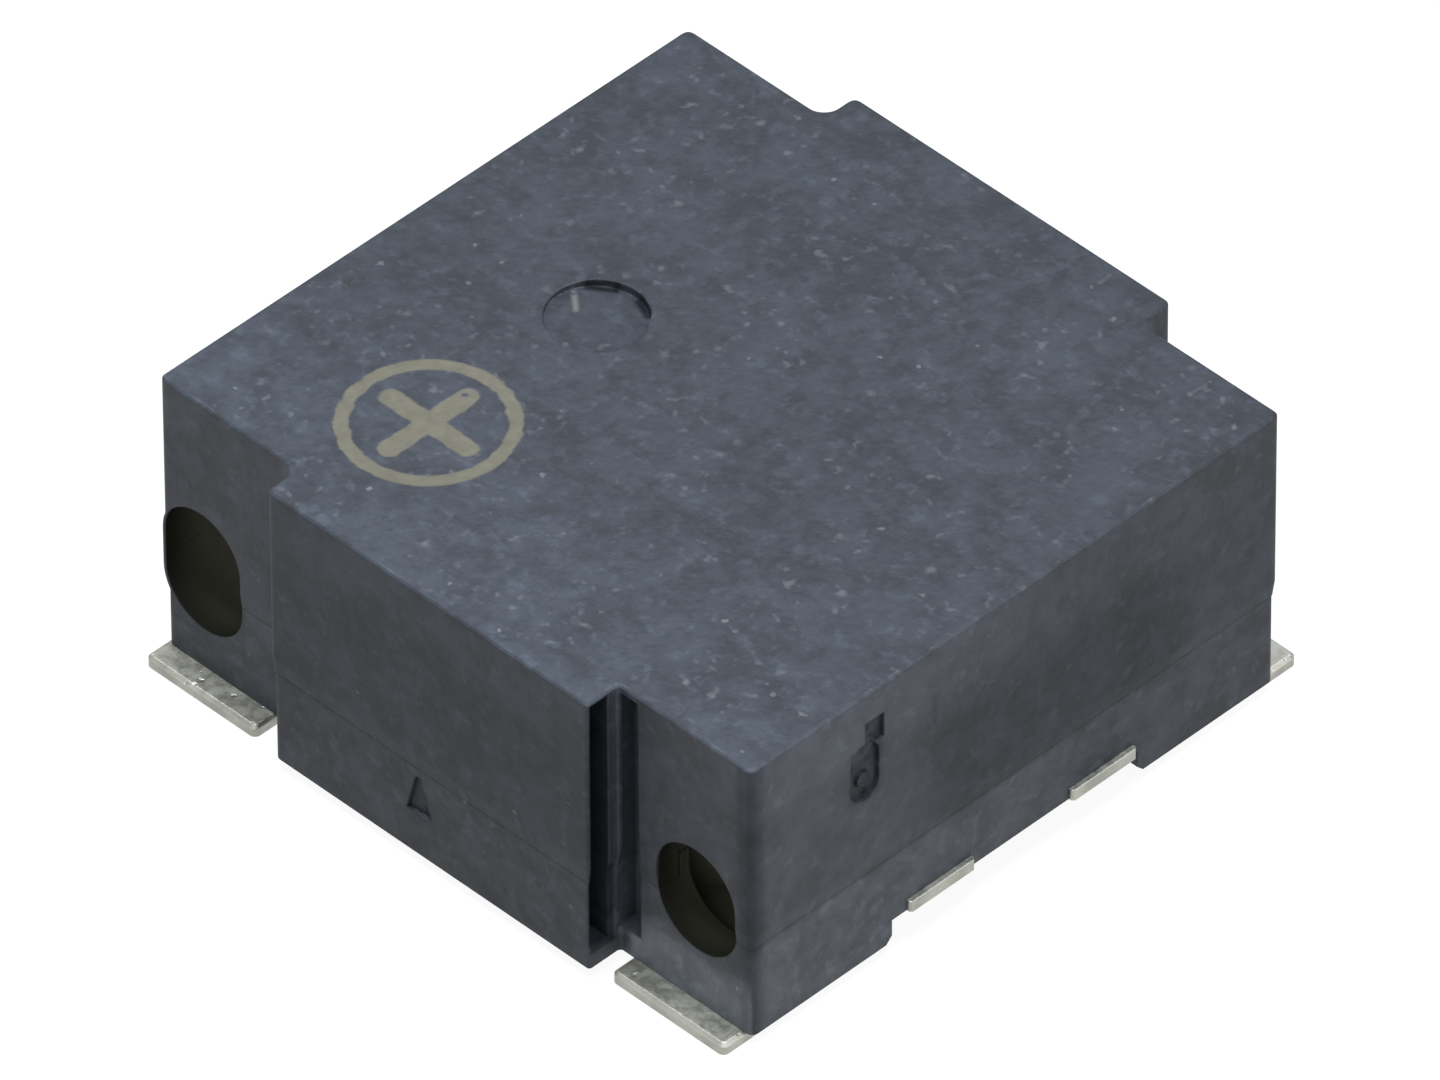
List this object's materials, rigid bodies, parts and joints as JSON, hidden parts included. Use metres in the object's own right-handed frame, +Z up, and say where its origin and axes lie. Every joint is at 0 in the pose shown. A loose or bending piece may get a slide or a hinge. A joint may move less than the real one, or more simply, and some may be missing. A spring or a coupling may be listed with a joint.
{
  "type": "magnetic buzzer",
  "caption": "Square surface-mount magnetic buzzer: stepped two-part moulded case, side sound ports, solder pads at the corners, magnetic motor inside.",
  "frame": {"origin": "centre of the footprint on the seating plane, under the four pads", "axes": "+Z up through the top face; the sound ports open towards -Y; +X is to the right seen from the port side"},
  "size_m": [0.009, 0.009, 0.004],
  "materials": {
    "case_plastic": "fine matt moulded",
    "base_plastic": "fine matt moulded",
    "tinned_terminal": "matt tin plate",
    "plated_iron": "bright plated",
    "insulating_film": "smooth film",
    "enamelled_copper": "enamelled wire",
    "solder": "bright solder",
    "magnet": "dark bonded magnet",
    "adhesive": "cured epoxy",
    "ring_plastic": "matt moulded",
    "spring_steel": "rolled foil"
  },
  "bodies": {
    "root": {"upper_case": "case_plastic", "base_housing": "base_plastic", "terminal_front_left": "tinned_terminal", "terminal_front_right": "tinned_terminal", "terminal_rear_left": "tinned_terminal", "terminal_rear_right": "tinned_terminal", "yoke_plate": "plated_iron", "pole_core": "plated_iron", "coil_washer": "insulating_film", "coil_winding": "enamelled_copper", "coil_lead_left": "enamelled_copper", "coil_lead_right": "enamelled_copper", "solder_joint_left": "solder", "solder_joint_right": "solder", "ring_magnet": "magnet", "magnet_adhesive": "adhesive", "support_ring": "ring_plastic", "diaphragm": "spring_steel", "armature_disc": "plated_iron", "seam_adhesive": "adhesive"}
  },
  "joints": []
}
